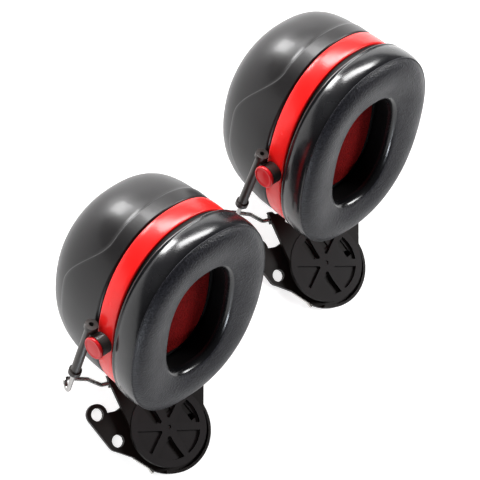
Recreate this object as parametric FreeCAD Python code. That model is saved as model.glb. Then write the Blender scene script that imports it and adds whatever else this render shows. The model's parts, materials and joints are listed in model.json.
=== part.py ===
import FreeCAD, Part
import math
import os

from FreeCAD import Placement, Rotation, Vector

# A pair of ear cups that plug into the side slots of a safety helmet, lying side by side
# on a table. Each unit is a helmet plate, an arm that turns on it, two spring wires hinged
# at the arm tips, two sleeves that slide on the wires, and a cup that swivels between the
# sleeves. Millimetres. Z is up, the table top is Z = 0. X runs from unit 1 to unit 2 and
# Y is parallel to the line through the two holes of a helmet plate. The origin is where
# the pivot axis of unit 1's arm meets the table.

# Pair
PAIR_X = 112.0
PAIR_Y = 8.0

# Helmet plate, with the arm pivot at its own origin
PLATE_THICK = 2.4
HOLE_R = 3.0
HOLE_X = -21.7
HOLE_Y_NEAR = 9.9
HOLE_Y_FAR = 25.2
LOBE_R = 4.9
FLANGE_SLANT = ((-25.3, 6.6), (-20.6, -0.8))
FLANGE_INSIDE = ((0.0, -6.0), (-4.0, 20.0), (-13.5, 20.8), (-16.9, 22.6))
FLAT_SIDE = ((-20.6, -0.8), (-16.8, -11.6))
FLAT_CUT = ((-26.0, -16.0), (-30.0, -4.0))
RIM_R = 20.2
RIM_WALL = 1.3
RIM_TOP = 4.2
RIM_SHIFT_X = 0.6
RIM_SHIFT_Y = -1.7
RIM_FROM_DEG = 225.0
RIM_TO_DEG = 355.0
SPRING_THICK = 0.5
SPRING_BOTTOM = 0.3
SPRING_TOP = 2.3
WASHER_R = 8.5
WASHER_GAP = 0.1

# Arm and its round cover
ARM_ANGLE_DEG = -27.7
ARM_BOTTOM = 4.5
ARM_TOP = 6.7
DISC_R = 18.4
COVER_BOTTOM = 5.4
COVER_TOP = 7.0
COVER_FLOOR = 5.9
POCKET_R = 15.2
SPOKES = 6
SPOKE_WIDTH = 3.4
SPOKE_DEG = 22.5
HUB_R = 4.2
DIMPLE_R = 1.0
DIMPLE_DEPTH = 0.4
SLOT_WIDTH = 2.7
SLOT_CLEAR = 1.0
SLOTS = ((-4.2, -10.5, 11.6), (-2.8, 9.6, 9.4), (12.0, -0.6, 8.8), (5.0, 7.6, 5.0))
TIP_W = 24.2
TIP_V = 28.5
ROOT_W = 17.4
TIP_FLAT = 2.0
EDGE_SAG = 9.0
EDGE_MID_SAG = 10.5
EDGE_CORNER_W = 13.0
TIP_BOSS_BOTTOM = 2.9
TIP_BOSS_LENGTH = 7.0
TIP_BOSS_WIDTH = 4.2
TIP_BOSS_INSET = 0.9
TIP_BORE_STOP = 0.8
PIN_R = 3.0
PIN_HEAD_R = 4.4
PIN_HEAD_TOP = 6.0
RUNNING_GAP = 0.07

# Wires
WIRE_R = 1.0
HINGE_V = 25.0
HINGE_Z = (TIP_BOSS_BOTTOM + ARM_TOP) / 2
WIRE_BEND_R = 1.9
WIRE_PIN_IN = 5.5

# Cup: its own frame has s across, u along the oval and a out through the cushion, with
# the origin in the middle of the joint between shell and ring
CUP_X = 20.1
CUP_Y = 57.8
CUP_Z = 52.0
CUP_YAW_DEG = -0.9
CUP_LEAN_DEG = 52.1
CUP_ROLL_DEG = -13.5
OVAL_S = 37.4
OVAL_U = 49.8
OVAL_POWER = 2.24
SHELL_DEPTH = 41.0
SHELL_POWER_S = 3.6
SHELL_POWER_U = 3.0
SHELL_WALL = 2.2
DOME_SHARES = (0.0, 0.2, 0.4, 0.58, 0.73, 0.84, 0.915, 0.96, 0.985, 0.997)
GAP_IN = 0.9
GASKET_TOP = 0.9
RING_TOP = 10.1
RING_PROUD = 0.2
RING_WALL = 3.4
SEAL_TOP = 12.6
INNER_DEPTH = 30.0
INNER_WALL = 1.8
FOAM_GAP = 0.4
FOAM_RISE = 13.6
FOAM_ROUND = 1.5
INNER_CUP_GAP = 0.3
CUSHION_TOP = 27.6
CUSHION_S = 40.6
CUSHION_U = 50.4
CUSHION_U_SHIFT = 0.9
CUSHION_ROUND = 6.0
LIP_ROUND = 3.0
EAR_S = 18.2
EAR_U = 28.5
EAR_POWER = 2.5
EAR_RELIEF = 0.6

# Pivot and sleeves, in the cup's frame
PIVOT_U = -3.6
PIVOT_A = 5.5
PIVOT_R = 2.5
BOSS_R = 5.0
BOSS_IN = 38.0
BOSS_OUT = 42.7
BUTTON_R = 5.2
BUTTON_IN = 43.1
BUTTON_OUT = 44.6
BUTTON_ROUND = 0.6
PIN_START = 0.4
SLEEVE_S = 40.85
SLEEVE_TILT_DEG = 11.1
SLEEVE_LENGTH = 37.0
SLEEVE_ABOVE = 8.6
SLEEVE_OFFSET = -7.1
WEB_LENGTH = 7.0
WEB_IN = 38.7
WEB_OUT = 42.2
SLEEVE_R = 2.15
SLEEVE_BORE = 1.1
COLLAR_R = 2.95
COLLAR_LENGTH = 2.2
WIRE_BELOW = 16.0
HOOK_S = -2.4
HOOK_U = 3.4
HOOK_A = -5.0
ELBOW_OUT = 3.0
KINK_SHARE = 0.6
KINK_IN = 4.8
KINK_DOWN = 2.0
WIRE_END_DOWN = 3.0

# Two heights this near are the same when edges are picked
SAME = 0.01

X_AXIS = Vector(1, 0, 0)
Z_AXIS = Vector(0, 0, 1)


# ---- general shapes -------------------------------------------------------------------

def cylinder(radius, start, end):
    """Round bar from one point to another."""
    along = end - start
    return Part.makeCylinder(radius, along.Length, start, along)


def disc(radius, bottom, top, x=0.0, y=0.0):
    """Upright cylinder between two heights."""
    return Part.makeCylinder(radius, top - bottom, Vector(x, y, bottom))


def prism(points, bottom, top):
    """Upright prism on a closed outline of (x, y) points."""
    corners = [Vector(x, y, bottom) for x, y in points]
    outline = Part.makePolygon(corners + corners[:1])
    return Part.Face(outline).extrude(Vector(0, 0, top - bottom))


def oval_wire(half_s, half_u, power, height, shift_u=0.0, count=24):
    """Closed smooth superellipse at a height along the cup's a axis."""
    points = []
    for i in range(count):
        turn = 2 * math.pi * i / count
        c = math.cos(turn)
        s = math.sin(turn)
        x = half_s * math.copysign(abs(c) ** (2 / power), c)
        y = half_u * math.copysign(abs(s) ** (2 / power), s)
        points.append(Vector(x, y + shift_u, height))
    curve = Part.BSplineCurve()
    curve.interpolate(Points=points, PeriodicFlag=True)
    return Part.Wire(curve.toShape())


def oval_prism(half_s, half_u, bottom, top, power=OVAL_POWER, shift_u=0.0):
    """Oval plate between two heights along a."""
    face = Part.Face(oval_wire(half_s, half_u, power, bottom, shift_u))
    return face.extrude(Vector(0, 0, top - bottom))


def dome(half_s, half_u, depth):
    """Solid dome below a = 0 whose section shrinks towards its flat-backed end."""
    sections = []
    for share in DOME_SHARES:
        scale_s = (1 - share ** SHELL_POWER_S) ** (1 / SHELL_POWER_S)
        scale_u = (1 - share ** SHELL_POWER_U) ** (1 / SHELL_POWER_U)
        sections.append(oval_wire(half_s * scale_s, half_u * scale_u, OVAL_POWER, -depth * share))
    return Part.makeLoft(sections, True, False)


def bent_wire(points, radius, bend):
    """Round wire through the points, with an arc of the bend radius at each inner one."""
    edges = []
    start = points[0]
    for before, corner, after in zip(points, points[1:], points[2:]):
        to_before = (before - corner).normalize()
        to_after = (after - corner).normalize()
        half = to_before.getAngle(to_after) / 2
        back = bend / math.tan(half)
        first = corner + to_before * back
        last = corner + to_after * back
        middle = (to_before + to_after).normalize()
        centre = corner + middle * (bend / math.sin(half))
        edges.append(Part.LineSegment(start, first).toShape())
        edges.append(Part.Arc(first, centre - middle * bend, last).toShape())
        start = last
    edges.append(Part.LineSegment(start, points[-1]).toShape())
    path = Part.Wire(edges)
    ring = Part.Circle(points[0], points[1] - points[0], radius)
    return path.makePipeShell([Part.Wire(ring.toShape())], True, False)


# ---- helmet plate and arm, in the plate's frame -----------------------------------------

def hat_plate():
    """Two-hole flange, round base and the raised rim around its outer side."""
    web = FLANGE_SLANT + FLAT_SIDE[1:] + FLANGE_INSIDE + ((HOLE_X, HOLE_Y_FAR),)
    lobes = [disc(LOBE_R, 0, PLATE_THICK, HOLE_X, y) for y in (HOLE_Y_NEAR, HOLE_Y_FAR)]
    strip = Part.makeBox(LOBE_R, HOLE_Y_FAR - HOLE_Y_NEAR, PLATE_THICK,
                         Vector(HOLE_X - LOBE_R, HOLE_Y_NEAR, 0))
    base = disc(RIM_R, 0, PLATE_THICK, RIM_SHIFT_X, RIM_SHIFT_Y)
    plate = base.multiFuse(lobes + [strip, prism(web, 0, PLATE_THICK), rim()])
    # The straight side of the base, where the latch spring lies
    plate = plate.cut(prism(FLAT_SIDE + FLAT_CUT, 0, RIM_TOP))
    for y in (HOLE_Y_NEAR, HOLE_Y_FAR):
        plate = plate.cut(disc(HOLE_R, 0, PLATE_THICK, HOLE_X, y))
    return plate.cut(disc(PIN_R, 0, PLATE_THICK)).removeSplitter()


def rim():
    """Wall that stands on the base, shifted away from the cup, over part of a turn."""
    wall = Part.makeCylinder(RIM_R, RIM_TOP, Vector(0, 0, 0), Z_AXIS, RIM_TO_DEG - RIM_FROM_DEG)
    wall = wall.cut(disc(RIM_R - RIM_WALL, 0, RIM_TOP))
    wall.rotate(Vector(0, 0, 0), Z_AXIS, RIM_FROM_DEG)
    wall.translate(Vector(RIM_SHIFT_X, RIM_SHIFT_Y, 0))
    return wall


def latch_spring():
    """Steel strip along the straight side of the base, thicker towards its free end."""
    far, near = (Vector(x, y, 0) for x, y in FLAT_SIDE)
    along = (near - far).normalize()
    out = along.cross(Z_AXIS)
    middle = (far + near * 3) / 4
    outline = [near, far, far + out * SPRING_THICK, middle + out * SPRING_THICK,
               near + out * SPRING_THICK * 3]
    return prism([(p.x, p.y) for p in outline], SPRING_BOTTOM, SPRING_TOP)


def pivot_rivet():
    """Pin that holds the arm on the plate, with its head above the arm."""
    return disc(PIN_R, 0, PIN_HEAD_TOP).fuse(disc(PIN_HEAD_R, COVER_BOTTOM, PIN_HEAD_TOP))


def friction_washer():
    """Washer between the plate and the arm."""
    ring = disc(WASHER_R, PLATE_THICK, ARM_BOTTOM - WASHER_GAP)
    return ring.cut(disc(PIN_R + WASHER_GAP, PLATE_THICK, ARM_BOTTOM))


def arm():
    """Fan plate from the drum to the two hinge tips. Its length is along +Y here."""
    left = [(-ROOT_W, 0), (-TIP_W, TIP_V), (-TIP_W + TIP_FLAT, TIP_V)]
    inner = [(-EDGE_CORNER_W, TIP_V - EDGE_SAG), (0, TIP_V - EDGE_MID_SAG),
             (EDGE_CORNER_W, TIP_V - EDGE_SAG)]
    right = [(TIP_W - TIP_FLAT, TIP_V), (TIP_W, TIP_V), (ROOT_W, 0)]
    fan = prism(left + inner + right, ARM_BOTTOM, ARM_TOP)
    body = fan.fuse(disc(DISC_R, ARM_BOTTOM, COVER_BOTTOM))
    outer = TIP_W - TIP_BOSS_INSET
    inner_end = outer - TIP_BOSS_LENGTH
    for side in (-1, 1):
        corner = Vector(min(side * outer, side * inner_end), HINGE_V - TIP_BOSS_WIDTH / 2,
                        TIP_BOSS_BOTTOM)
        boss = Part.makeBox(TIP_BOSS_LENGTH, TIP_BOSS_WIDTH, ARM_TOP - TIP_BOSS_BOTTOM, corner)
        body = body.fuse(boss)
        bore_from = Vector(side * TIP_W, HINGE_V, HINGE_Z)
        bore_to = Vector(side * (inner_end + TIP_BORE_STOP), HINGE_V, HINGE_Z)
        body = body.cut(cylinder(WIRE_R + RUNNING_GAP, bore_from, bore_to))
    body = body.cut(disc(DISC_R + WASHER_GAP, COVER_BOTTOM, ARM_TOP))
    body = body.cut(cover_slots(ARM_BOTTOM, COVER_BOTTOM))
    return body.cut(disc(PIN_R + RUNNING_GAP, ARM_BOTTOM, COVER_BOTTOM)).removeSplitter()


def hub_cover():
    """Round cover with six spokes between its pockets, and slots through the pockets."""
    cover = disc(DISC_R, COVER_BOTTOM, COVER_TOP)
    pocket = disc(POCKET_R, COVER_FLOOR, COVER_TOP).cut(disc(HUB_R, COVER_FLOOR, COVER_TOP))
    for i in range(SPOKES // 2):
        bar = Part.makeBox(2 * DISC_R, SPOKE_WIDTH, COVER_TOP - COVER_FLOOR,
                           Vector(-DISC_R, -SPOKE_WIDTH / 2, COVER_FLOOR))
        bar.rotate(Vector(0, 0, 0), Z_AXIS, SPOKE_DEG + i * 360 / SPOKES)
        pocket = pocket.cut(bar)
    cover = cover.cut(pocket)
    cover = cover.cut(cover_slots(COVER_BOTTOM, COVER_TOP))
    head_room = disc(PIN_HEAD_R + WASHER_GAP, COVER_BOTTOM, PIN_HEAD_TOP + WASHER_GAP)
    cover = cover.cut(head_room)
    return cover.cut(disc(DIMPLE_R, COVER_TOP - DIMPLE_DEPTH, COVER_TOP)).removeSplitter()


def cover_slots(bottom, top):
    """The cover's slots between two heights, within the ring of pockets."""
    cuts = []
    for x, y, length in SLOTS:
        cuts.append(Part.makeBox(SLOT_WIDTH, length, top - bottom,
                                 Vector(x - SLOT_WIDTH / 2, y - length / 2, bottom)))
    ring = disc(POCKET_R, bottom, top).cut(disc(HUB_R + SLOT_CLEAR, bottom, top))
    return cuts[0].multiFuse(cuts[1:]).common(ring)


# ---- cup parts, in the cup's frame ------------------------------------------------------

def outer_shell():
    """Deep dome, open towards the head."""
    inner = dome(OVAL_S - SHELL_WALL, OVAL_U - SHELL_WALL, SHELL_DEPTH - SHELL_WALL)
    return dome(OVAL_S, OVAL_U, SHELL_DEPTH).cut(inner)


def gasket():
    """Thin recessed ring between shell and coloured ring."""
    body = oval_prism(OVAL_S - GAP_IN, OVAL_U - GAP_IN, 0, GASKET_TOP)
    hole = oval_prism(OVAL_S - SHELL_WALL, OVAL_U - SHELL_WALL, 0, GASKET_TOP)
    return body.cut(hole)


def colour_ring():
    """Ring that carries the two swivel pins."""
    body = oval_prism(OVAL_S + RING_PROUD, OVAL_U + RING_PROUD, GASKET_TOP, RING_TOP)
    hole = oval_prism(OVAL_S - RING_WALL, OVAL_U - RING_WALL, GASKET_TOP, RING_TOP)
    body = body.cut(hole)
    for side in (-1, 1):
        body = body.cut(pivot_pin(side))
    return body


def inner_cup():
    """Second, shallower bowl inside the shell, flat-floored, open towards the head."""
    half_s = OVAL_S - RING_WALL - INNER_CUP_GAP
    half_u = OVAL_U - RING_WALL - INNER_CUP_GAP
    body = dome(half_s, half_u, INNER_DEPTH).fuse(oval_prism(half_s, half_u, 0, RING_TOP))
    room = dome(half_s - INNER_WALL, half_u - INNER_WALL, INNER_DEPTH - INNER_WALL)
    room = room.fuse(oval_prism(half_s - INNER_WALL, half_u - INNER_WALL, 0, RING_TOP))
    return body.cut(room)


def foam_liner():
    """Foam block that fills the inner cup and bulges up through the ear opening."""
    inset = RING_WALL + INNER_CUP_GAP + INNER_WALL + FOAM_GAP
    half_s = OVAL_S - inset
    half_u = OVAL_U - inset
    shoulder = RING_TOP - FOAM_GAP
    block = dome(half_s, half_u, INNER_DEPTH - INNER_WALL - FOAM_GAP)
    block = block.fuse(oval_prism(half_s, half_u, 0, shoulder))
    bulge = oval_prism(EAR_S - FOAM_GAP, EAR_U - FOAM_GAP, 0, FOAM_RISE, EAR_POWER)
    edges = [e for e in bulge.Edges if e.BoundBox.ZMin > FOAM_RISE - SAME]
    return block.fuse(bulge.makeFillet(FOAM_ROUND, edges))


def seal_plate():
    """Flat plate that closes the cup around the ear opening and carries the cushion."""
    body = oval_prism(OVAL_S - GAP_IN, OVAL_U - GAP_IN, RING_TOP, SEAL_TOP)
    return body.cut(oval_prism(EAR_S + EAR_RELIEF, EAR_U + EAR_RELIEF, RING_TOP, SEAL_TOP,
                               EAR_POWER))


def ear_cushion():
    """Plain padded ring with rounded outer and inner edges at its face."""
    body = oval_prism(CUSHION_S, CUSHION_U, SEAL_TOP, CUSHION_TOP, OVAL_POWER, CUSHION_U_SHIFT)
    body = body.cut(oval_prism(EAR_S, EAR_U, SEAL_TOP, CUSHION_TOP, EAR_POWER))
    body = body.makeFillet(LIP_ROUND, face_edges(body)[:1])
    return body.makeFillet(CUSHION_ROUND, face_edges(body)[-1:])


def face_edges(body):
    """Edges of the cushion's face, shortest first."""
    edges = [e for e in body.Edges if e.BoundBox.ZMin > CUSHION_TOP - SAME]
    return sorted(edges, key=lambda e: e.Length)


def pivot_pin(side):
    """Swivel pin from the ring out through the sleeve's boss."""
    start = Vector(side * (OVAL_S - RING_WALL + PIN_START), PIVOT_U, PIVOT_A)
    return cylinder(PIVOT_R, start, Vector(side * BUTTON_IN, PIVOT_U, PIVOT_A))


def button(side):
    """Round cap on the end of a swivel pin, with a softened rim."""
    start = Vector(side * BUTTON_IN, PIVOT_U, PIVOT_A)
    cap = cylinder(BUTTON_R, start, Vector(side * BUTTON_OUT, PIVOT_U, PIVOT_A))
    rims = [e for e in cap.Edges if abs(abs(e.BoundBox.XMin) - BUTTON_OUT) < SAME
            and abs(abs(e.BoundBox.XMax) - BUTTON_OUT) < SAME]
    return cap.makeFillet(BUTTON_ROUND, rims)


def sleeve_point(side, distance):
    """Point on a sleeve's own axis, at a distance above the pivot's level."""
    tilt = math.radians(SLEEVE_TILT_DEG)
    u = PIVOT_U + distance * math.cos(tilt)
    a = PIVOT_A + SLEEVE_OFFSET + distance * math.sin(tilt)
    return Vector(side * SLEEVE_S, u, a)


def sleeve_web(side):
    """Block that joins the tube to the boss."""
    low = min(side * WEB_IN, side * WEB_OUT)
    return Part.makeBox(WEB_OUT - WEB_IN, WEB_LENGTH, -SLEEVE_OFFSET,
                        Vector(low, PIVOT_U - WEB_LENGTH / 2, PIVOT_A + SLEEVE_OFFSET))


def sleeve(side):
    """Tube with a collar at each end, on a boss that turns on the swivel pin."""
    top = SLEEVE_ABOVE
    bottom = SLEEVE_ABOVE - SLEEVE_LENGTH
    body = cylinder(SLEEVE_R, sleeve_point(side, bottom), sleeve_point(side, top))
    for start in (bottom, top - COLLAR_LENGTH):
        collar = cylinder(COLLAR_R, sleeve_point(side, start),
                          sleeve_point(side, start + COLLAR_LENGTH))
        body = body.fuse(collar)
    boss_in = Vector(side * BOSS_IN, PIVOT_U, PIVOT_A)
    boss_out = Vector(side * BOSS_OUT, PIVOT_U, PIVOT_A)
    body = body.fuse(cylinder(BOSS_R, boss_in, boss_out))
    body = body.fuse(sleeve_web(side))
    body = body.cut(cylinder(PIVOT_R + RUNNING_GAP, boss_in, boss_out))
    bore = cylinder(SLEEVE_BORE, sleeve_point(side, bottom), sleeve_point(side, top))
    return body.cut(bore).removeSplitter()


# ---- placing ------------------------------------------------------------------------------

CUP_TURN = (Rotation(Z_AXIS, CUP_YAW_DEG) * Rotation(X_AXIS, CUP_LEAN_DEG)
            * Rotation(Z_AXIS, CUP_ROLL_DEG))
CUP_PLACE = Placement(Vector(CUP_X, CUP_Y, CUP_Z), CUP_TURN)
ARM_PLACE = Placement(Vector(0, 0, 0), Rotation(Z_AXIS, ARM_ANGLE_DEG))


def spring_wire(side):
    """Wire from the arm tip, out and back through a hook, then up into the sleeve."""
    pin_end = ARM_PLACE.multVec(Vector(side * (TIP_W - WIRE_PIN_IN), HINGE_V, HINGE_Z))
    elbow = ARM_PLACE.multVec(Vector(side * (TIP_W + ELBOW_OUT), HINGE_V, HINGE_Z))
    hook = sleeve_point(side, SLEEVE_ABOVE - SLEEVE_LENGTH - WIRE_BELOW)
    hook_end = CUP_PLACE.multVec(hook + Vector(side * HOOK_S, HOOK_U, HOOK_A))
    kink = elbow + (hook_end - elbow) * KINK_SHARE
    kink += ARM_PLACE.Rotation.multVec(Vector(-side * KINK_IN, 0, -KINK_DOWN))
    top = CUP_PLACE.multVec(sleeve_point(side, SLEEVE_ABOVE - WIRE_END_DOWN))
    route = [pin_end, elbow, kink, hook_end, CUP_PLACE.multVec(hook), top]
    return bent_wire(route, WIRE_R, WIRE_BEND_R)


def placed(shape, placement):
    """A copy of the shape, moved by the placement."""
    return shape.transformed(placement.toMatrix(), True)


def unit_parts():
    """Every piece of one unit, in the frame of its own helmet plate."""
    parts = {
        "hat_plate": hat_plate(),
        "latch_spring": latch_spring(),
        "pivot_rivet": pivot_rivet(),
        "friction_washer": friction_washer(),
        "arm": placed(arm(), ARM_PLACE),
        "hub_cover": hub_cover(),
    }
    in_cup = {
        "outer_shell": outer_shell(),
        "gasket": gasket(),
        "colour_ring": colour_ring(),
        "inner_cup": inner_cup(),
        "foam_liner": foam_liner(),
        "seal_plate": seal_plate(),
        "ear_cushion": ear_cushion(),
    }
    for name, side in (("left", -1), ("right", 1)):
        parts[name + "_wire"] = spring_wire(side)
        in_cup[name + "_sleeve"] = sleeve(side)
        in_cup[name + "_swivel_pin"] = pivot_pin(side)
        in_cup[name + "_button"] = button(side)
    for name, shape in in_cup.items():
        parts[name] = placed(shape, CUP_PLACE)
    return parts


os.makedirs("parts", exist_ok=True)
for name, shape in unit_parts().items():
    for number, shift in ((1, Vector(0, 0, 0)), (2, Vector(PAIR_X, PAIR_Y, 0))):
        copy = shape.copy()
        copy.translate(shift)
        copy.exportStep("parts/unit%d_%s.step" % (number, name))
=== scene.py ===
import json
import math

import bpy
import numpy as np
from mathutils import Matrix, Vector


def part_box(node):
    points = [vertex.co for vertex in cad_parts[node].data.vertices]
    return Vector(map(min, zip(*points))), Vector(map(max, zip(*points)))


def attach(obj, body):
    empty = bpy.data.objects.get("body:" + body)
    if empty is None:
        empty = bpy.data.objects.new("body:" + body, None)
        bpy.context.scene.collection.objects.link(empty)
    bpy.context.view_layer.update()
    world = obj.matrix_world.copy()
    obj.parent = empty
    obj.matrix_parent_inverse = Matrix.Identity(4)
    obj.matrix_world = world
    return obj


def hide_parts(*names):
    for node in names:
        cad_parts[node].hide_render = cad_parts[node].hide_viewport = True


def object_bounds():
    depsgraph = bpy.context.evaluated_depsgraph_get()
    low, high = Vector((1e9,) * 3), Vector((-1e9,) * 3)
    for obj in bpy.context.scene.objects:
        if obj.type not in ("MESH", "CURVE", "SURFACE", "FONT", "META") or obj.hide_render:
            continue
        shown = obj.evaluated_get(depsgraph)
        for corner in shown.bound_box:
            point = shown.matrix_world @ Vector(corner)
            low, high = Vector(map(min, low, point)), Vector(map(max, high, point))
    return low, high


# Looks of a pair of helmet-mounted ear cups. Lengths are in metres, in the row frame.
# Each cup has its own frame: s across it, u along its oval and a out through the cushion,
# with its origin in the middle of the joint between shell and coloured ring. Pieces are
# made in unit 1's cup frame, and unit 2 gets copies of them.

MM = 0.001
UNITS = (1, 2)

# Where a cup's own frame lies from its swivel axis, and how far its sleeves lean
PIVOT_U = -3.6 * MM
PIVOT_A = 5.5 * MM
SLEEVE_TILT = math.radians(11.1)

# Ovals are superellipses, given as half sizes across and along. The first power is that of
# shell, ring, foam and the cushion's outside, the second that of the ear opening.
OVAL_POWER = 2.24
EAR_POWER = 2.5
EAR_S = 18.2 * MM
EAR_U = 28.5 * MM

# Shell: a dome on the oval, with a power of its own across and along. Its last row lies
# just short of the pole and is then drawn to a point of this share of its size.
SHELL_S = 37.4 * MM
SHELL_U = 49.8 * MM
SHELL_DEPTH = 40.7 * MM
SHELL_POWER_S = 3.6
SHELL_POWER_U = 3.0
SHELL_WALL = 2.2 * MM
SHELL_LAST_ANGLE = math.radians(89.98)
SHELL_TIP_SHARE = 0.003
SHELL_ROWS = 60
SHELL_FRONT_ROWS = 16

# Sunk back panel of the shell: its edge runs beside the ring and dips at the sleeves. The
# edge lies this deep in the dome, and the dip adds to it between two angles from the side.
PANEL_EDGE = 7.0 * MM
PANEL_DIP = 17.2 * MM
PANEL_DIP_FROM = math.radians(50)
PANEL_DIP_TO = math.radians(8)
PANEL_SINK = 0.4 * MM
PANEL_STEP = 0.35 * MM
PANEL_STEP_SHARES = (0.25, 0.5, 0.75)

# Foam pad: flat at its shoulder, with a rounded and slightly crowned bulge above that,
# which keeps a gap to the ear opening
FOAM_S = 31.9 * MM
FOAM_U = 44.3 * MM
FOAM_GAP = 0.4 * MM
FOAM_SHOULDER = 9.7 * MM
FOAM_RISE = 13.6 * MM
FOAM_CROWN = 0.5 * MM
FOAM_ROUND = 1.8 * MM
FOAM_ROUND_ANGLES = (30, 60, 90)
FOAM_CENTRE_SHARE = 0.03
FOAM_ROWS = 24

# Ring section, as millimetres out from the shell's oval and along a
RING_SECTION = ((-3.4, 0.9), (-0.35, 0.9), (-0.08, 1.0), (0.1, 1.2), (0.17, 1.5), (0.25, 3.5),
                (0.28, 5.5), (0.25, 7.5), (0.17, 9.5), (0.1, 9.8), (-0.08, 10.0), (-0.35, 10.1),
                (-3.4, 10.1))

# Button section, as millimetres of radius and out from its seat on the sleeve's boss
BUTTON_SECTION = ((5.2, 0.0), (5.2, 0.85), (5.05, 1.2), (4.75, 1.42), (4.4, 1.45), (4.1, 1.3),
                  (3.8, 1.28), (2.6, 1.42), (1.2, 1.5), (0.1, 1.52))
BUTTON_SEAT = 43.1 * MM

# Cushion: its outer oval is larger than the shell's and lies a little off its centre
CUSHION_S = 40.6 * MM
CUSHION_U = 50.4 * MM
CUSHION_SHIFT_U = 0.9 * MM

# Cushion section, from the seal plate round the side, over the face and down the inner
# wall: share of the way from the outer oval to the ear opening, and millimetres along a
CUSHION_SIDE = ((0.10, 12.7), (0.035, 12.8), (0.012, 13.2), (0.012, 13.9), (0.03, 14.5),
                (0.012, 15.4), (0.0, 17.0), (-0.006, 18.8), (-0.004, 20.6), (0.006, 22.4),
                (0.026, 23.9), (0.05, 24.7))
CUSHION_FACE = ((0.08, 25.3), (0.12, 26.0), (0.19, 26.8), (0.28, 27.3),
                (0.40, 27.55), (0.53, 27.45), (0.66, 27.0), (0.77, 26.5), (0.86, 26.2),
                (0.925, 25.75), (0.97, 24.9), (0.995, 23.6))
CUSHION_WALL = ((1.0, 21.8), (0.995, 19.8), (0.98, 17.6), (0.965, 15.4), (0.95, 13.6),
                (0.93, 12.7))

# The face's last rows turn down into the ear opening as a lip, glossy like the side. The
# two looks are places among the cushion's materials, after that of the side.
LIP_ROWS = 2
FACE_LOOK = 1
WALL_LOOK = 2

# Air pressure that swells the cushion and how many frames it acts for, the rows held at
# each end of its section, and the most that a point may move
SWELL_PRESSURE = 4
SWELL_FRAMES = 20
SWELL_HELD_ROWS = 2
SWELL_LIMIT = 0.8 * MM

# Keeps a division by a length of nothing from failing
TINY = 1e-9

# Bead on the cushion's shoulder, and the step in share that shows which way is out
SEAM_R = 0.3 * MM
SEAM_SIDES = 8
SEAM_STEP = 0.01

# Points round each piece
SHELL_TURNS = 240
RING_TURNS = 200
CUSHION_TURNS = 144
SEAM_TURNS = 240
FOAM_TURNS = 160
BUTTON_TURNS = 72

# Widths of the softened edges on the CAD pieces that stay in view
EDGE_WIDTHS = {"hat_plate": 0.25 * MM, "arm": 0.3 * MM, "hub_cover": 0.22 * MM,
               "left_sleeve": 0.2 * MM, "right_sleeve": 0.2 * MM, "pivot_rivet": 0.3 * MM,
               "latch_spring": 0.08 * MM, "seal_plate": 0.2 * MM}
EDGE_ANGLE = math.radians(40)
EDGE_SEGMENTS = 2
WELD_DISTANCE = 0.002 * MM

# Noise textures mostly stay between these two values
NOISE_LOW = 0.3
NOISE_HIGH = 0.7

# Shared looks. Shades and gloss are factors on a material's own colour and roughness.
COAT_ROUGHNESS = 0.12
FACE_GRAIN_SCALE = 1300.0
PLASTIC_SHADES = (0.88, 1.12)
STEEL_SHADES = (0.9, 1.0)
STEEL_GLOSS = (0.7, 1.4)
STEEL_LINE_DEPTH = 0.01 * MM

# Moulded plastics: colour, roughness, depth of grain and what differs from the usual
PLASTICS = {
    "black_plastic": {"colour": (0.005, 0.0026, 0.0021), "roughness": 0.45,
                      "grain": 0.02 * MM, "specular": 0.25},
    "washer_plastic": {"colour": (0.02, 0.02, 0.02), "roughness": 0.5, "grain": 0.01 * MM},
    "arm_plastic": {"colour": (0.005, 0.0030, 0.0025), "roughness": 0.5,
                    "grain": 0.02 * MM, "specular": 0.2},
    "cover_plastic": {"colour": (0.013, 0.0105, 0.011), "roughness": 0.55,
                      "grain": 0.03 * MM, "specular": 0.2},
    "sleeve_plastic": {"colour": (0.028, 0.023, 0.021), "roughness": 0.38,
                       "grain": 0.02 * MM},
    "shell_plastic": {"colour": (0.008, 0.0072, 0.0076), "roughness": 0.36,
                      "grain": 0.02 * MM, "grain_scale": 2200.0, "spread": 0.08,
                      "coat": 0.08, "specular": 0.28},
    "gasket_rubber": {"colour": (0.006, 0.006, 0.006), "roughness": 0.7, "grain": 0.01 * MM},
    "red_plastic": {"colour": (0.72, 0.010, 0.009), "roughness": 0.25,
                    "grain": 0.006 * MM, "grain_scale": 1500.0, "spread": 0.1,
                    "specular": 0.33},
    "inner_plastic": {"colour": (0.02, 0.02, 0.02), "roughness": 0.5, "grain": 0.02 * MM},
    "seal_plastic": {"colour": (0.003, 0.003, 0.003), "roughness": 0.6,
                     "grain": 0.02 * MM, "specular": 0.15},
    "cushion_wall": {"colour": (0.0008, 0.0008, 0.001), "roughness": 0.7,
                     "grain": 0.02 * MM, "specular": 0.12},
    "pin_plastic": {"colour": (0.02, 0.02, 0.02), "roughness": 0.4, "grain": 0.02 * MM},
    "red_button": {"colour": (0.50, 0.008, 0.012), "roughness": 0.33,
                   "grain": 0.01 * MM, "grain_scale": 1500.0, "spread": 0.1,
                   "specular": 0.33}}
# Painted shade: the dark colour given to the hub cover's upright slot and pocket walls in place of the shadow that
# falls inside them
COVER_PAINTED_SHADE = (0.001, 0.001, 0.001)

# Steels: colour, roughness and how the lines of drawing or rolling are stretched
STEELS = {
    "steel": {"colour": (0.62, 0.60, 0.57), "roughness": 0.25, "stretch": (1, 1, 12)},
    "dark_steel": {"colour": (0.05, 0.045, 0.04), "roughness": 0.4, "stretch": (1, 1, 1)},
    "steel_wire": {"colour": (0.42, 0.41, 0.40), "roughness": 0.28, "stretch": (1, 1, 1)}}

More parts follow.
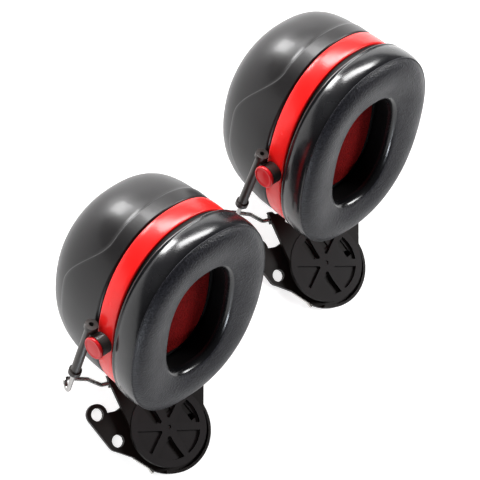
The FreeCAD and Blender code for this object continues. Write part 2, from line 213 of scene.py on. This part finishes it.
# Soft panels: compass angle, height angle, distance, width, height, watts and tint. The
# bounce only lifts the shade, so it is left out of reflections.
WHITE = (1, 1, 1)
PANELS = {"key": (85, 5, 1.1, 0.38, 0.3, 15, WHITE),
          "strip": (55, 26, 1.3, 1.0, 0.3, 30, WHITE),
          "fill": (-28, 34, 1.4, 0.5, 0.4, 18, WHITE),
          "low": (-128, 6, 1.4, 0.4, 0.2, 7, (0.86, 0.92, 1.0)),
          "bounce": (139, 42, 1.5, 1.0, 0.8, 9, WHITE)}
ROOM_STRENGTH = 0.06
TABLE_REACH = 1.6
TABLE_COLOUR = (0.55, 0.55, 0.55)
TABLE_ROUGHNESS = 0.7
TABLE_GLOW = 0.78

# Camera: where it stands, which way its image's right points and where it looks
CAMERA_EYE = (-0.3480, 0.2074, 1.0219)
CAMERA_RIGHT = (0.695, -0.602, 0.393)
CAMERA_FORWARD = (0.387, -0.147, -0.910)
CAMERA_LENS = 180.0
CAMERA_SENSOR = 36.0
CAMERA_CLIP_END = 10.0

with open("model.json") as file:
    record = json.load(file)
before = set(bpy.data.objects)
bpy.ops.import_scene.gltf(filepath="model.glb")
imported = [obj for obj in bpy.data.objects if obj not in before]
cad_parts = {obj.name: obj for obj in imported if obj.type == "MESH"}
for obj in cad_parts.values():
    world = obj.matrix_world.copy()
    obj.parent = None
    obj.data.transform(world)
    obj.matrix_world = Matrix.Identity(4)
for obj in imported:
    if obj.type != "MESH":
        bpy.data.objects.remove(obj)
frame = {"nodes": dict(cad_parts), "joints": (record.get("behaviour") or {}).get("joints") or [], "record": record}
first_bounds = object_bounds()
record = frame["record"]


# ---- cup frames -------------------------------------------------------------------------

def joint(name):
    """The record's joint of that name."""
    return next(j for j in frame["joints"] if j["name"] == name)


def cup_frame():
    """Matrix from unit 1's cup frame to the row frame."""
    across = Vector(joint("cup_swivel_1")["axis"])
    slide = Vector(joint("height_slide_1")["axis"])
    turned = across.cross(slide)
    along = slide * math.cos(SLEEVE_TILT) - turned * math.sin(SLEEVE_TILT)
    out = slide * math.sin(SLEEVE_TILT) + turned * math.cos(SLEEVE_TILT)
    origin = Vector(joint("cup_swivel_1")["pos_m"]) - along * PIVOT_U - out * PIVOT_A
    turn = Matrix((across, along, out)).transposed()
    return Matrix.Translation(origin) @ turn.to_4x4()


CUP = cup_frame()
PAIR_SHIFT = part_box("unit2_outer_shell")[0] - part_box("unit1_outer_shell")[0]


# ---- meshes -----------------------------------------------------------------------------

def oval(half_s, half_u, power, shift_u, height, turns):
    """Points of a superellipse at a height, one for each angle."""
    c = np.cos(turns)
    s = np.sin(turns)
    x = half_s * np.sign(c) * np.abs(c) ** (2 / power)
    y = half_u * np.sign(s) * np.abs(s) ** (2 / power) + shift_u
    return np.stack([x, y, np.broadcast_to(height, x.shape)], axis=-1)


def turns_of(count):
    """Even angles once round."""
    return np.arange(count) * 2 * math.pi / count


def grid_faces(rows, columns, closed):
    """Quads between neighbouring rows of points that go round."""
    faces = []
    for i in range(rows if closed else rows - 1):
        below = (i + 1) % rows
        for j in range(columns):
            beside = (j + 1) % columns
            faces.append((i * columns + j, i * columns + beside,
                          below * columns + beside, below * columns + j))
    return faces


def grid_piece(name, points, material, closed=True):
    """Smooth mesh object from rows of points in the cup frame, its ends joined or capped."""
    rows, columns = points.shape[:2]
    mesh = bpy.data.meshes.new(name)
    flat = points.reshape(-1, 3).tolist()
    faces = grid_faces(rows, columns, closed)
    if not closed:
        faces.append(tuple(range(columns)))
        faces.append(tuple(reversed(range((rows - 1) * columns, rows * columns))))
    mesh.from_pydata(flat, [], faces)
    mesh.transform(CUP)
    mesh.materials.append(material)
    mesh.shade_smooth()
    piece = bpy.data.objects.new(name, mesh)
    bpy.context.scene.collection.objects.link(piece)
    outwards(piece)
    return piece


def outwards(piece):
    """Turns all faces to look out of the piece."""
    bpy.context.view_layer.objects.active = piece
    piece.select_set(True)
    bpy.ops.object.mode_set(mode="EDIT")
    bpy.ops.mesh.select_all(action="SELECT")
    bpy.ops.mesh.normals_make_consistent(inside=False)
    bpy.ops.object.mode_set(mode="OBJECT")
    piece.select_set(False)


def smoothstep(x):
    """Soft step from 0 to 1."""
    x = np.clip(x, 0, 1)
    return x * x * (3 - 2 * x)


def grid_normals(points):
    """Normals of a grid of rows that go round."""
    down = np.gradient(points, axis=0)
    round_ = np.roll(points, -1, axis=1) - np.roll(points, 1, axis=1)
    normals = np.cross(round_, down)
    return normals / np.linalg.norm(normals, axis=-1, keepdims=True)


# ---- cup pieces -------------------------------------------------------------------------

def shell_row(turns, inset, depth, deep):
    """Points round a dome, at a share of its depth for each angle."""
    row = oval(SHELL_S - inset, SHELL_U - inset, OVAL_POWER, 0, -depth * deep, turns)
    row[:, 0] *= (1 - deep ** SHELL_POWER_S) ** (1 / SHELL_POWER_S)
    row[:, 1] *= (1 - deep ** SHELL_POWER_U) ** (1 / SHELL_POWER_U)
    return row


def shell_rows(turns, inset, depth, starts):
    """Rows of a dome from a depth at each angle to its end, the last drawn to a point."""
    first = np.arcsin(np.clip(starts / depth, 0, 1) ** (SHELL_POWER_U / 2))
    rows = []
    for share in np.linspace(0, 1, SHELL_ROWS):
        angle = first + (SHELL_LAST_ANGLE - first) * share
        rows.append(shell_row(turns, inset, depth, np.sin(angle) ** (2 / SHELL_POWER_U)))
    rows.append(rows[-1] * (SHELL_TIP_SHARE, SHELL_TIP_SHARE, 1))
    return rows


def outer_shell():
    """Deep hollow dome with a sunk back panel whose edge dips where the sleeves pass."""
    turns = turns_of(SHELL_TURNS)
    from_side = np.arccos(np.clip(np.abs(np.cos(turns)), 0, 1))
    dip = smoothstep((PANEL_DIP_FROM - from_side) / (PANEL_DIP_FROM - PANEL_DIP_TO))
    edge = PANEL_EDGE + PANEL_DIP * dip
    rows = []
    sink = []
    for share in np.linspace(0, 1, SHELL_FRONT_ROWS):
        deep = (edge - PANEL_STEP) * share / SHELL_DEPTH
        rows.append(shell_row(turns, 0, SHELL_DEPTH, deep))
        sink.append(0)
    for share in PANEL_STEP_SHARES:
        deep = (edge + PANEL_STEP * (2 * share - 1)) / SHELL_DEPTH
        rows.append(shell_row(turns, 0, SHELL_DEPTH, deep))
        sink.append(float(smoothstep(share)))
    back = shell_rows(turns, 0, SHELL_DEPTH, edge + PANEL_STEP)
    rows += back
    sink += [1] * len(back)
    points = np.array(rows)
    normals = grid_normals(points)
    # At the first angle the dome faces along s, so outward normals point that way there
    if normals[2, 0, 0] < 0:
        normals = -normals
    points -= normals * (np.array(sink)[:, None, None] * PANEL_SINK)
    inner = shell_rows(turns, SHELL_WALL, SHELL_DEPTH - SHELL_WALL, np.zeros(len(turns)))
    points = np.concatenate([points, inner[::-1]])
    return grid_piece("shell", points, materials["shell_plastic"])


def colour_ring():
    """Ring with softened edges and a slight crown."""
    turns = turns_of(RING_TURNS)
    rows = [oval(SHELL_S + out * MM, SHELL_U + out * MM, OVAL_POWER, 0, height * MM, turns)
            for out, height in RING_SECTION]
    return grid_piece("ring", np.array(rows), materials["red_plastic"])


def cushion_row(share, height, turns):
    """Points round the cushion at a share of the way to its ear opening."""
    half_s = CUSHION_S + (EAR_S - CUSHION_S) * share
    half_u = CUSHION_U + (EAR_U - CUSHION_U) * share
    power = OVAL_POWER + (EAR_POWER - OVAL_POWER) * share
    return oval(half_s, half_u, power, CUSHION_SHIFT_U * (1 - share), height * MM, turns)


def ear_cushion():
    """Padded ring, swollen by air pressure, glossy on side and lip, grained on its face."""
    turns = turns_of(CUSHION_TURNS)
    section = CUSHION_SIDE + CUSHION_FACE + CUSHION_WALL
    points = np.array([cushion_row(share, height, turns) for share, height in section])
    piece = grid_piece("cushion", points, materials["cushion_side"])
    piece.data.materials.append(materials["cushion_face"])
    piece.data.materials.append(materials["cushion_wall"])
    columns = len(turns)
    face_from = len(CUSHION_SIDE) - 1
    lip_from = face_from + len(CUSHION_FACE) - LIP_ROWS
    wall_from = face_from + len(CUSHION_FACE) + 1
    for polygon in piece.data.polygons:
        rows = sorted(v // columns for v in polygon.vertices)
        if rows[-1] - rows[0] > 1 or rows[0] >= wall_from:
            polygon.material_index = WALL_LOOK
        elif face_from <= rows[0] < lip_from:
            polygon.material_index = FACE_LOOK
    end = len(section) * columns
    held = SWELL_HELD_ROWS * columns
    swell(piece, [*range(held), *range(end - held, end)])
    smooth = piece.modifiers.new("smooth", "SUBSURF")
    smooth.levels = 1
    smooth.render_levels = 1
    apply_modifiers(piece)
    piece.data.shade_smooth()
    return piece


def swell(piece, held):
    """Fills the piece with air pressure, some points held, with a cap on each one's move."""
    scene = bpy.context.scene
    group = piece.vertex_groups.new(name="base")
    group.add(held, 1.0, "REPLACE")
    cloth = piece.modifiers.new("cloth", "CLOTH")
    cloth.settings.quality = 8
    cloth.settings.mass = 0.3
    cloth.settings.tension_stiffness = 30
    cloth.settings.compression_stiffness = 30
    cloth.settings.bending_stiffness = 2
    cloth.settings.use_pressure = True
    cloth.settings.uniform_pressure_force = SWELL_PRESSURE
    cloth.settings.vertex_group_mass = "base"
    cloth.settings.effector_weights.gravity = 0
    before = coordinates(piece.data)
    for step in range(1, SWELL_FRAMES + 1):
        scene.frame_set(step)
    settled = piece.evaluated_get(bpy.context.evaluated_depsgraph_get())
    moved = coordinates(settled.data) - before
    length = np.linalg.norm(moved, axis=1, keepdims=True)
    moved *= np.minimum(1, SWELL_LIMIT / np.maximum(length, TINY))
    piece.modifiers.remove(cloth)
    piece.vertex_groups.remove(group)
    piece.data.vertices.foreach_set("co", (before + moved).astype(np.float32).ravel())
    piece.data.update()
    scene.frame_set(1)


def coordinates(mesh):
    """A mesh's points as an array."""
    points = np.zeros(len(mesh.vertices) * 3, np.float32)
    mesh.vertices.foreach_get("co", points)
    return points.reshape(-1, 3).astype(float)


def apply_modifiers(piece):
    """Turns the piece's modifiers into its mesh."""
    shaped = piece.evaluated_get(bpy.context.evaluated_depsgraph_get())
    mesh = bpy.data.meshes.new_from_object(shaped)
    piece.modifiers.clear()
    piece.data = mesh


def cushion_seam():
    """Thin welded bead round the cushion's shoulder."""
    share, height = CUSHION_SIDE[-1]
    turns = turns_of(SEAM_TURNS)
    middle = cushion_row(share, height, turns)
    out = cushion_row(share - SEAM_STEP, height, turns) - middle
    out /= np.linalg.norm(out, axis=1, keepdims=True)
    up = np.array([0.0, 0.0, 1.0])
    rows = []
    for angle in turns_of(SEAM_SIDES):
        rows.append(middle + (out * math.cos(angle) + up * math.sin(angle)) * SEAM_R)
    return grid_piece("cushion_seam", np.array(rows), materials["cushion_face"])


def foam_liner():
    """Foam pad in the cup that bulges up, crowned and rounded, through the ear opening."""
    turns = turns_of(FOAM_TURNS)
    side_s = EAR_S - FOAM_GAP
    side_u = EAR_U - FOAM_GAP
    rows = []
    for share in np.linspace(FOAM_CENTRE_SHARE, 1, FOAM_ROWS):
        height = FOAM_RISE + FOAM_CROWN * (1 - share ** 2)
        reach_s = (side_s - FOAM_ROUND) * share
        reach_u = (side_u - FOAM_ROUND) * share
        rows.append(oval(reach_s, reach_u, EAR_POWER, 0, height, turns))
    for angle in np.radians(FOAM_ROUND_ANGLES):
        inset = FOAM_ROUND * (1 - math.sin(angle))
        height = FOAM_RISE - FOAM_ROUND * (1 - math.cos(angle))
        rows.append(oval(side_s - inset, side_u - inset, EAR_POWER, 0, height, turns))
    rows.append(oval(side_s, side_u, EAR_POWER, 0, FOAM_SHOULDER, turns))
    rows.append(oval(FOAM_S, FOAM_U, OVAL_POWER, 0, FOAM_SHOULDER, turns))
    rows.append(oval(FOAM_S, FOAM_U, OVAL_POWER, 0, 0, turns))
    return grid_piece("foam", np.array(rows), materials["foam"], closed=False)


def button(side):
    """Round cap with a softened rim round a slightly domed face."""
    turns = turns_of(BUTTON_TURNS)
    rows = []
    for radius, height in BUTTON_SECTION:
        x = np.full(len(turns), side * (BUTTON_SEAT + height * MM))
        y = PIVOT_U + radius * MM * np.cos(turns)
        z = PIVOT_A + radius * MM * np.sin(turns)
        rows.append(np.stack([x, y, z], axis=-1))
    name = "left_button" if side < 0 else "right_button"
    return grid_piece(name, np.array(rows), materials["red_button"], closed=False)


# ---- materials --------------------------------------------------------------------------

def new_material(name, colour, roughness, metallic=0.0):
    """Principled material, with its shader and a coordinate output to build on."""
    material = bpy.data.materials.new(name)
    material.use_nodes = True
    nodes = material.node_tree.nodes
    shader = next(n for n in nodes if n.type == "BSDF_PRINCIPLED")
    shader.inputs["Base Color"].default_value = (*colour, 1)
    shader.inputs["Roughness"].default_value = roughness
    shader.inputs["Metallic"].default_value = metallic
    where = nodes.new("ShaderNodeTexCoord").outputs["Object"]
    return material, shader, where


def noise(material, where, scale, detail=4.0, stretch=(1, 1, 1)):
    """Noise texture over the object's own coordinates, which may be stretched."""
    nodes = material.node_tree.nodes
    links = material.node_tree.links
    mapping = nodes.new("ShaderNodeMapping")
    mapping.inputs["Scale"].default_value = stretch
    links.new(where, mapping.inputs["Vector"])
    texture = nodes.new("ShaderNodeTexNoise")
    texture.inputs["Scale"].default_value = scale
    texture.inputs["Detail"].default_value = detail
    links.new(mapping.outputs["Vector"], texture.inputs["Vector"])
    return texture.outputs["Fac"]


def ranged(material, value, low, high):
    """The value spread from its usual middle range to low and high."""
    node = material.node_tree.nodes.new("ShaderNodeMapRange")
    node.inputs["From Min"].default_value = NOISE_LOW
    node.inputs["From Max"].default_value = NOISE_HIGH
    node.inputs["To Min"].default_value = low
    node.inputs["To Max"].default_value = high
    material.node_tree.links.new(value, node.inputs["Value"])
    return node.outputs["Result"]


def shades(colour, factors):
    """The colour made darker or lighter by each factor."""
    return [tuple(min(1.0, c * factor) for c in colour) for factor in factors]


def mottled(material, shader, value, first, second):
    """Base colour that wanders between two close shades."""
    ramp = material.node_tree.nodes.new("ShaderNodeValToRGB")
    ramp.color_ramp.elements[0].position = NOISE_LOW
    ramp.color_ramp.elements[0].color = (*first, 1)
    ramp.color_ramp.elements[1].position = NOISE_HIGH
    ramp.color_ramp.elements[1].color = (*second, 1)
    material.node_tree.links.new(value, ramp.inputs["Fac"])
    material.node_tree.links.new(ramp.outputs["Color"], shader.inputs["Base Color"])


def bumped(material, shader, value, distance, strength=1.0):
    """Fine relief from a height value."""
    bump = material.node_tree.nodes.new("ShaderNodeBump")
    bump.inputs["Strength"].default_value = strength
    bump.inputs["Distance"].default_value = distance
    material.node_tree.links.new(value, bump.inputs["Height"])
    material.node_tree.links.new(bump.outputs["Normal"], shader.inputs["Normal"])


def plastic(name, colour, roughness, grain, grain_scale=2500.0, spread=0.12, coat=0.0,
            specular=0.4):
    """Moulded plastic: fine spark grain, slightly uneven gloss and shade."""
    material, shader, where = new_material(name, colour, roughness)
    broad = noise(material, where, scale=60.0)
    mottled(material, shader, broad, *shades(colour, PLASTIC_SHADES))
    gloss = ranged(material, broad, low=roughness * (1 - spread), high=roughness * (1 + spread))
    material.node_tree.links.new(gloss, shader.inputs["Roughness"])
    fine = noise(material, where, scale=grain_scale, detail=2.0)
    bumped(material, shader, fine, distance=grain)
    shader.inputs["Specular IOR Level"].default_value = specular
    shader.inputs["Coat Weight"].default_value = coat
    shader.inputs["Coat Roughness"].default_value = COAT_ROUGHNESS
    return material


def paint_wall_shade(material, painted_shade_colour):
    """Paints shade on faces that stand upright, standing in for the shadow inside narrow slots and pockets. The
    colour fades from the material's own to the shade colour as a face turns from facing up to upright.
    """
    nodes = material.node_tree.nodes
    links = material.node_tree.links
    shader = next(n for n in nodes if n.type == "BSDF_PRINCIPLED")
    parts = nodes.new("ShaderNodeSeparateXYZ")
    links.new(nodes.new("ShaderNodeTexCoord").outputs["Normal"], parts.inputs["Vector"])
    # Faces that look up keep the material's colour, and upright faces take the painted shade colour
    mix = nodes.new("ShaderNodeMix")
    mix.data_type = "RGBA"
    links.new(parts.outputs["Z"], mix.inputs["Factor"])
    mix.inputs["A"].default_value = (*painted_shade_colour, 1)
    links.new(shader.inputs["Base Color"].links[0].from_socket, mix.inputs["B"])
    links.new(mix.outputs["Result"], shader.inputs["Base Color"])


def steel(name, colour, roughness, stretch):
    """Drawn or rolled steel with fine lines along one direction."""
    material, shader, where = new_material(name, colour, roughness, metallic=1.0)
    lines = noise(material, where, scale=900.0, detail=3.0, stretch=stretch)
    gloss = ranged(material, lines, *(roughness * factor for factor in STEEL_GLOSS))
    material.node_tree.links.new(gloss, shader.inputs["Roughness"])
    broad = noise(material, where, scale=200.0)
    mottled(material, shader, broad, *shades(colour, STEEL_SHADES))
    bumped(material, shader, lines, distance=STEEL_LINE_DEPTH)
    return material


def leather_face():
    """Matte vinyl of the cushion's face: small pebbled cells with creases between them."""
    material, shader, where = new_material("cushion_face", (0.015, 0.015, 0.0185), 0.4)
    nodes = material.node_tree.nodes
    links = material.node_tree.links
    cells = nodes.new("ShaderNodeTexVoronoi")
    cells.feature = "SMOOTH_F1"
    cells.inputs["Scale"].default_value = FACE_GRAIN_SCALE
    links.new(where, cells.inputs["Vector"])
    bumped(material, shader, cells.outputs["Distance"], distance=0.17 * MM)
    speckle = noise(material, where, scale=FACE_GRAIN_SCALE, detail=2.0)
    mottled(material, shader, speckle, first=(0.002, 0.002, 0.003),
            second=(0.022, 0.022, 0.028))
    gloss = ranged(material, noise(material, where, scale=90.0), low=0.36, high=0.46)
    links.new(gloss, shader.inputs["Roughness"])
    shader.inputs["Specular IOR Level"].default_value = 0.18
    return material


def vinyl_side():
    """Glossy black vinyl of the cushion's side, drawn slightly uneven over the foam."""
    material, shader, where = new_material("cushion_side", (0.007, 0.007, 0.008), 0.24)
    broad = noise(material, where, scale=55.0)
    mottled(material, shader, broad, first=(0.005, 0.005, 0.006), second=(0.009, 0.009, 0.010))
    gloss = ranged(material, broad, low=0.18, high=0.30)
    material.node_tree.links.new(gloss, shader.inputs["Roughness"])
    waves = noise(material, where, scale=160.0, detail=3.0)
    bumped(material, shader, waves, distance=0.12 * MM, strength=0.5)
    shader.inputs["Specular IOR Level"].default_value = 0.36
    shader.inputs["Coat Weight"].default_value = 0.12
    shader.inputs["Coat Roughness"].default_value = COAT_ROUGHNESS
    return material


def foam_material():
    """Open-cell red foam with visible pores."""
    material, shader, where = new_material("foam", (0.12, 0.0014, 0.0015), 0.9)
    pores = material.node_tree.nodes.new("ShaderNodeTexVoronoi")
    pores.inputs["Scale"].default_value = 1500.0
    material.node_tree.links.new(where, pores.inputs["Vector"])
    mottled(material, shader, pores.outputs["Distance"], first=(0.085, 0.0008, 0.001),
            second=(0.155, 0.002, 0.002))
    bumped(material, shader, pores.outputs["Distance"], distance=0.5 * MM, strength=0.8)
    shader.inputs["Specular IOR Level"].default_value = 0.08
    return material


def make_materials():
    """A material for each slot that stays in view, and for the cushion's three surfaces."""
    made = {name: plastic(name, **look) for name, look in PLASTICS.items()}
    # The hub cover gets painted shade on the upright walls of its slots and pockets
    paint_wall_shade(made["cover_plastic"], COVER_PAINTED_SHADE)
    for name, look in STEELS.items():
        made[name] = steel(name, **look)
    made["foam"] = foam_material()
    made["cushion_side"] = vinyl_side()
    made["cushion_face"] = leather_face()
    return made


def finish_cad_nodes():
    """Gives each shown CAD node its material and soft machined or moulded edges."""
    for part in record["subparts"]:
        node = frame["nodes"][part["node"]]
        if node.hide_render:
            continue
        node.data.materials.clear()
        node.data.materials.append(materials[part["material_slot"]])
        kind = part["node"].split("_", 1)[1]
        if kind in EDGE_WIDTHS:
            weld = node.modifiers.new("weld", "WELD")
            weld.merge_threshold = WELD_DISTANCE
            bevel = node.modifiers.new("edges", "BEVEL")
            bevel.width = EDGE_WIDTHS[kind]
            bevel.segments = EDGE_SEGMENTS
            bevel.limit_method = "ANGLE"
            bevel.angle_limit = EDGE_ANGLE
            bevel.harden_normals = True


# ---- placing ----------------------------------------------------------------------------

def place(piece, node):
    """Puts the piece and a copy on the two units' cups, each in place of its CAD node."""
    name = piece.name
    second = piece.copy()
    second.data = piece.data.copy()
    second.location = PAIR_SHIFT
    bpy.context.scene.collection.objects.link(second)
    pair = (piece, second)
    for unit, item in zip(UNITS, pair):
        item.name = "unit%d_%s_look" % (unit, name)
        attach(item, "cup_%d" % unit)
        if node:
            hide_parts("unit%d_%s" % (unit, node))
    return pair


def build_cups():
    """All pieces that stand for CAD nodes of the cups."""
    place(outer_shell(), "outer_shell")
    place(colour_ring(), "colour_ring")
    for cushion in place(ear_cushion(), "ear_cushion"):
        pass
    place(cushion_seam(), None)
    for foam in place(foam_liner(), "foam_liner"):
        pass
    place(button(-1), "left_button")
    place(button(1), "right_button")


# ---- stage ------------------------------------------------------------------------------

def middle_of_object():
    """Middle of the CAD box."""
    low, high = first_bounds
    return (Vector(low) + Vector(high)) / 2


def floor():
    """Pale table."""
    middle = middle_of_object()
    corners = [(middle.x + x * TABLE_REACH, middle.y + y * TABLE_REACH, 0)
               for x, y in ((-1, -1), (1, -1), (1, 1), (-1, 1))]
    mesh = bpy.data.meshes.new("floor")
    mesh.from_pydata(corners, [], [(0, 1, 2, 3)])
    material, shader, _ = new_material("floor", TABLE_COLOUR, TABLE_ROUGHNESS)
    shader.inputs["Emission Color"].default_value = (*WHITE, 1)
    shader.inputs["Emission Strength"].default_value = TABLE_GLOW
    mesh.materials.append(material)
    table = bpy.data.objects.new("floor", mesh)
    bpy.context.scene.collection.objects.link(table)


def soft_panel(name, azimuth, elevation, distance, width, height, power, tint):
    """Soft light panel that faces the object from a compass angle and a height angle."""
    flat = math.cos(math.radians(elevation))
    direction = Vector((flat * math.cos(math.radians(azimuth)),
                        flat * math.sin(math.radians(azimuth)),
                        math.sin(math.radians(elevation))))
    light = bpy.data.lights.new(name, "AREA")
    light.shape = "RECTANGLE"
    light.size = width
    light.size_y = height
    light.energy = power
    light.color = tint
    panel = bpy.data.objects.new(name, light)
    panel.location = middle_of_object() + direction * distance
    panel.rotation_euler = direction.to_track_quat("Z", "Y").to_euler()
    bpy.context.scene.collection.objects.link(panel)
    return panel


def lights():
    """Soft panels round the table and a dim room."""
    for name, settings in PANELS.items():
        panel = soft_panel(name, *settings)
        panel.visible_glossy = name != "bounce"
    world = bpy.data.worlds.new("room")
    world.use_nodes = True
    background = next(n for n in world.node_tree.nodes if n.type == "BACKGROUND")
    background.inputs["Color"].default_value = (*WHITE, 1)
    background.inputs["Strength"].default_value = ROOM_STRENGTH
    bpy.context.scene.world = world


def camera():
    """Long lens from above, rolled so that the table's up points to the side."""
    right = Vector(CAMERA_RIGHT).normalized()
    forward = Vector(CAMERA_FORWARD)
    forward = (forward - right * forward.dot(right)).normalized()
    up = right.cross(forward)
    data = bpy.data.cameras.new("camera")
    data.lens = CAMERA_LENS
    data.sensor_width = CAMERA_SENSOR
    data.clip_end = CAMERA_CLIP_END
    item = bpy.data.objects.new("camera", data)
    turn = Matrix((right, up, -forward)).transposed()
    item.matrix_world = Matrix.Translation(Vector(CAMERA_EYE)) @ turn.to_4x4()
    bpy.context.scene.collection.objects.link(item)
    bpy.context.scene.camera = item


materials = make_materials()
build_cups()
finish_cad_nodes()
floor()
lights()
camera()
bpy.context.scene.view_settings.view_transform = "Standard"
